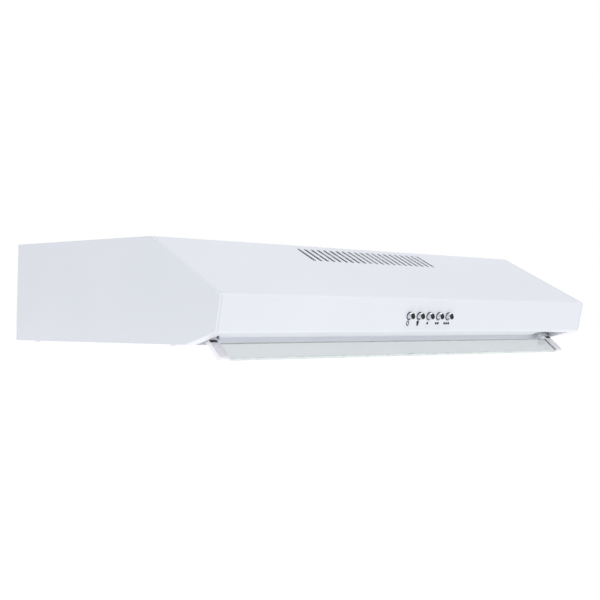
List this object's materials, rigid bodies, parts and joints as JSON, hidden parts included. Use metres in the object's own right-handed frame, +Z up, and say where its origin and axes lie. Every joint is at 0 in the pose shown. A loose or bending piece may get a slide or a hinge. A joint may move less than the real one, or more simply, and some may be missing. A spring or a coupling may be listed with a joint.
{
  "type": "under cabinet range hood",
  "caption": "Slim white range hood that hangs under a wall cabinet, with a sloping louvred front, push buttons on its nose and a folding glass visor.",
  "frame": {"origin": "middle of the top rear edge, where the hood meets both the wall and the cabinet above it", "axes": "+X to the right seen from the front, +Y into the wall, +Z up"},
  "size_m": [0.6, 0.4921, 0.1335],
  "materials": {
    "white_enamel": "smooth white powder coat, satin",
    "zinc_steel": "galvanised, dull",
    "white_plastic": "moulded, soft gloss",
    "visor_glass": "clear float glass with a faint green edge",
    "chrome": "plated plastic, bright",
    "black_gloss": "gloss black",
    "black_plastic": "moulded, matt",
    "spring_steel": "drawn wire",
    "grey_plastic": "moulded, fine texture",
    "motor_paint": "black dip paint",
    "pale_ceramic": "glazed socket",
    "terminal_plastic": "natural nylon",
    "can_aluminium": "drawn, bright",
    "loom_sleeve": "braided sleeve",
    "lamp_lens": "ribbed diffuser",
    "bulb_glass": "frosted",
    "filter_aluminium": "mill finish, layered mesh",
    "latch_plastic": "moulded"
  },
  "bodies": {
    "casing": {"canopy_wrap": "white_enamel", "left_side_panel": "white_enamel", "right_side_panel": "white_enamel", "back_panel": "zinc_steel", "bottom_frame": "white_enamel", "visor_tray": "white_enamel", "visor_pivot_pins": "zinc_steel", "left_pivot_bracket": "zinc_steel", "right_pivot_bracket": "zinc_steel", "button_guide": "black_plastic", "switch_block": "black_plastic", "switch_bracket": "zinc_steel", "fan_housing": "grey_plastic", "fan_lid": "grey_plastic", "motor_spider": "zinc_steel", "motor_body": "motor_paint", "inlet_grille": "grey_plastic", "fan_screws": "zinc_steel", "duct_ring": "grey_plastic", "flap_pins": "zinc_steel", "terminal_box": "grey_plastic", "terminal_cover": "grey_plastic", "terminal_strip": "terminal_plastic", "cable_gland": "black_plastic", "capacitor": "can_aluminium", "control_loom": "loom_sleeve", "lamp_lens": "lamp_lens", "lamp_reflector": "can_aluminium", "lamp_holder": "pale_ceramic", "lamp_bulb": "bulb_glass", "casing_screws": "zinc_steel", "spring_off": "spring_steel", "spring_light": "spring_steel", "spring_speed_1": "spring_steel", "spring_speed_2": "spring_steel", "spring_speed_3": "spring_steel"},
    "visor": {"visor_glass": "visor_glass", "left_visor_arm": "white_plastic", "right_visor_arm": "white_plastic"},
    "fan_wheel": {"impeller": "black_plastic", "motor_shaft": "zinc_steel"},
    "rear_flap": {"rear_flap": "grey_plastic"},
    "front_flap": {"front_flap": "grey_plastic"},
    "left_filter": {"left_filter_rim": "filter_aluminium", "left_filter_mesh": "filter_aluminium"},
    "right_filter": {"right_filter_rim": "filter_aluminium", "right_filter_mesh": "filter_aluminium"},
    "left_latch": {"left_filter_latch": "latch_plastic"},
    "right_latch": {"right_filter_latch": "latch_plastic"},
    "button_off": {"button_off": "chrome", "cap_off": "black_gloss"},
    "button_light": {"button_light": "chrome", "cap_light": "black_gloss"},
    "button_speed_1": {"button_speed_1": "chrome", "cap_speed_1": "black_gloss"},
    "button_speed_2": {"button_speed_2": "chrome", "cap_speed_2": "black_gloss"},
    "button_speed_3": {"button_speed_3": "chrome", "cap_speed_3": "black_gloss"}
  },
  "joints": [
    {"name": "visor_swing", "type": "hinge", "parent": "casing", "child": "visor", "pos_m": [0, -0.44031, -0.10755], "axis": [-1, 0, 0], "range_deg": [0, 53]},
    {"name": "fan_spin", "type": "hinge", "parent": "casing", "child": "fan_wheel", "pos_m": [-0.052, -0.262, -0.05], "axis": [0, 0, 1], "continuous": true},
    {"name": "rear_flap_swing", "type": "hinge", "parent": "casing", "child": "rear_flap", "pos_m": [0, -0.1088, -0.0308], "axis": [1, 0, 0], "range_deg": [0, 80]},
    {"name": "front_flap_swing", "type": "hinge", "parent": "casing", "child": "front_flap", "pos_m": [0, -0.1152, -0.0308], "axis": [-1, 0, 0], "range_deg": [0, 80]},
    {"name": "left_filter_drop", "type": "hinge", "parent": "casing", "child": "left_filter", "pos_m": [0, -0.01994, -0.1291], "axis": [1, 0, 0], "range_deg": [0, 75]},
    {"name": "left_latch_slide", "type": "slide", "parent": "left_filter", "child": "left_latch", "axis": [0, 0.9993, -0.0374], "range_m": [0, 0.006], "stiffness_N_per_m": 300, "springref_m": -0.002},
    {"name": "right_filter_drop", "type": "hinge", "parent": "casing", "child": "right_filter", "pos_m": [0, -0.01994, -0.1291], "axis": [1, 0, 0], "range_deg": [0, 75]},
    {"name": "right_latch_slide", "type": "slide", "parent": "right_filter", "child": "right_latch", "axis": [0, 0.9993, -0.0374], "range_m": [0, 0.006], "stiffness_N_per_m": 300, "springref_m": -0.002},
    {"name": "button_off_press", "type": "slide", "parent": "casing", "child": "button_off", "axis": [0, 1, 0], "range_m": [0, 0.0035], "stiffness_N_per_m": 400, "springref_m": -0.002, "deforming": ["spring_off"]},
    {"name": "button_light_press", "type": "slide", "parent": "casing", "child": "button_light", "axis": [0, 1, 0], "range_m": [0, 0.0035], "stiffness_N_per_m": 400, "springref_m": -0.002, "deforming": ["spring_light"]},
    {"name": "button_speed_1_press", "type": "slide", "parent": "casing", "child": "button_speed_1", "axis": [0, 1, 0], "range_m": [0, 0.0035], "stiffness_N_per_m": 400, "springref_m": -0.002, "deforming": ["spring_speed_1"]},
    {"name": "button_speed_2_press", "type": "slide", "parent": "casing", "child": "button_speed_2", "axis": [0, 1, 0], "range_m": [0, 0.0035], "stiffness_N_per_m": 400, "springref_m": -0.002, "deforming": ["spring_speed_2"]},
    {"name": "button_speed_3_press", "type": "slide", "parent": "casing", "child": "button_speed_3", "axis": [0, 1, 0], "range_m": [0, 0.0035], "stiffness_N_per_m": 400, "springref_m": -0.002, "deforming": ["spring_speed_3"]}
  ]
}
